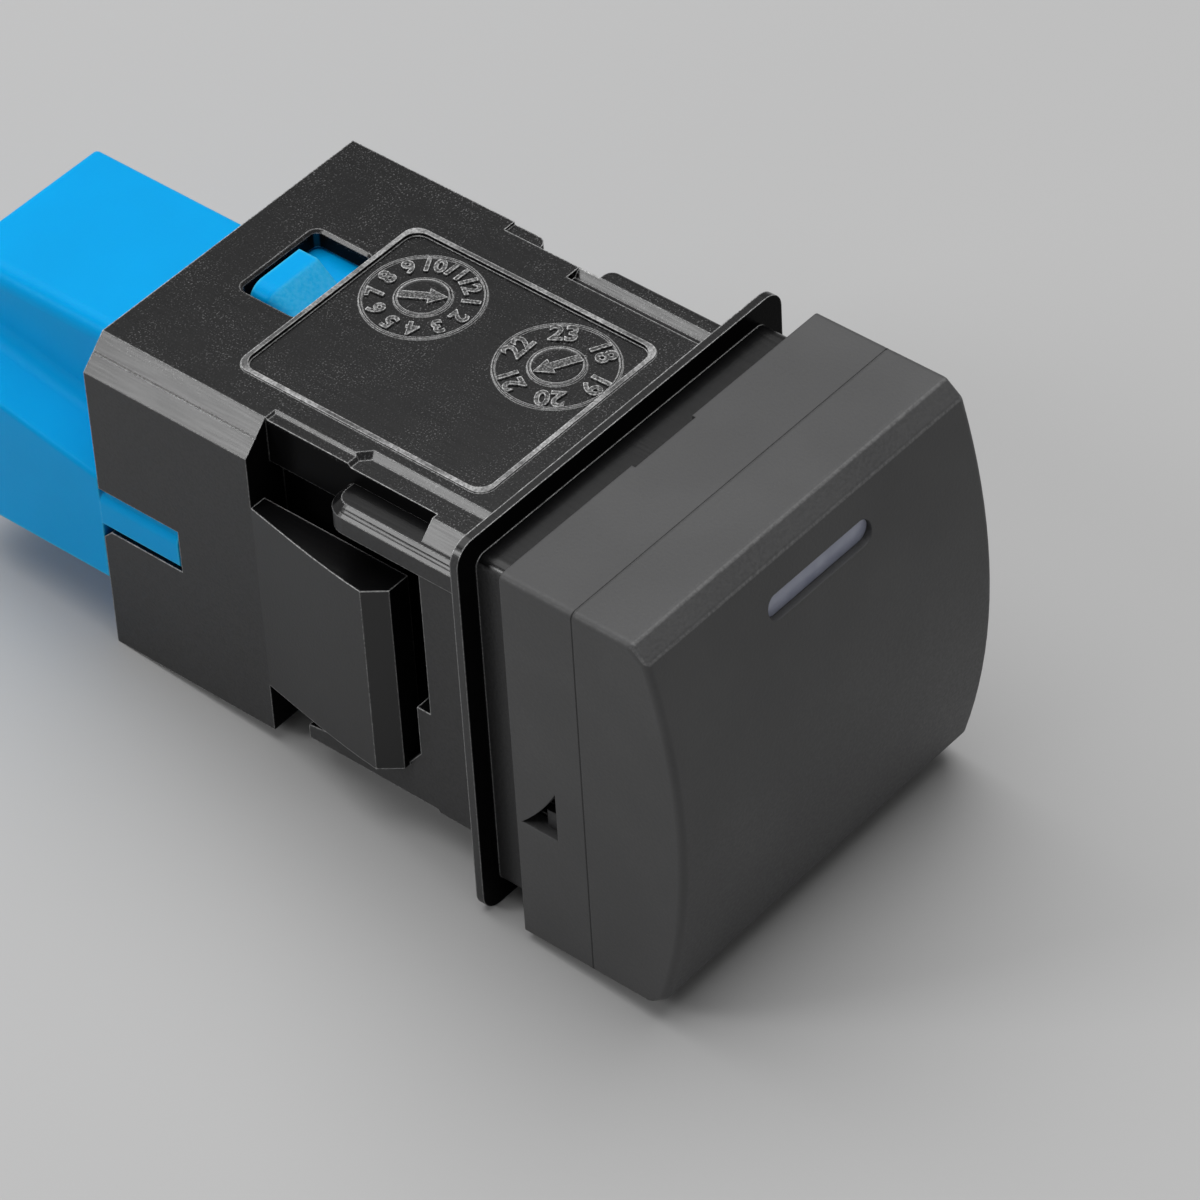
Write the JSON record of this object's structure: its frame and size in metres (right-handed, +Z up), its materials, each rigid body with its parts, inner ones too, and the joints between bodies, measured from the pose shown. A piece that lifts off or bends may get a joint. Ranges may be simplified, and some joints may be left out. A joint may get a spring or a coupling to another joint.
{
  "type": "latching push switch",
  "caption": "Panel push switch that latches on and off, with a wide crowned cap, a lit bar, a snap-in square holder and a moulded connector base.",
  "frame": {"origin": "middle of the flange's rear face, the plane that seats on the panel", "axes": "+Y into the panel, towards the connector; +Z up, towards the lit bar; +X to the right seen from the front"},
  "size_m": [0.0228, 0.0476, 0.0228],
  "materials": {
    "cap": "matt, very fine grain",
    "light_guide": "clear grey",
    "slider": "smooth dark grey acetal",
    "holder": "satin black acetal",
    "base": "satin",
    "spring_steel": "bright drawn wire",
    "copper": "rolled bronze strip",
    "tin": "tin plate",
    "board": "green lacquer",
    "lamp": "clear resin",
    "chip": "glazed"
  },
  "bodies": {
    "body": {"holder": "holder", "connector_base": "base", "circuit_board": "board", "lamp_left": "lamp", "lamp_right": "lamp", "resistor_left": "chip", "resistor_right": "chip", "terminal_1": "tin", "terminal_2": "tin", "terminal_3": "tin", "terminal_4": "tin", "terminal_5": "tin", "return_spring": "spring_steel", "latch_leaf": "spring_steel"},
    "button": {"button_cap": "cap", "light_guide": "light_guide", "slider": "slider", "wiper_left": "copper", "wiper_right": "copper", "wiper_spring_left": "spring_steel", "wiper_spring_right": "spring_steel"},
    "latch": {"latch_pin": "spring_steel"}
  },
  "joints": [
    {"name": "push", "type": "slide", "parent": "body", "child": "button", "axis": [0, 1, 0], "range_m": [0, 0.0022], "stiffness_N_per_m": 450, "springref_m": -0.006, "deforming": ["return_spring"]},
    {"name": "latch_swing", "type": "hinge", "parent": "body", "child": "latch", "pos_m": [0, 0.0151, -0.00715], "axis": [0, 0, 1], "range_deg": [0, 15.3]}
  ]
}
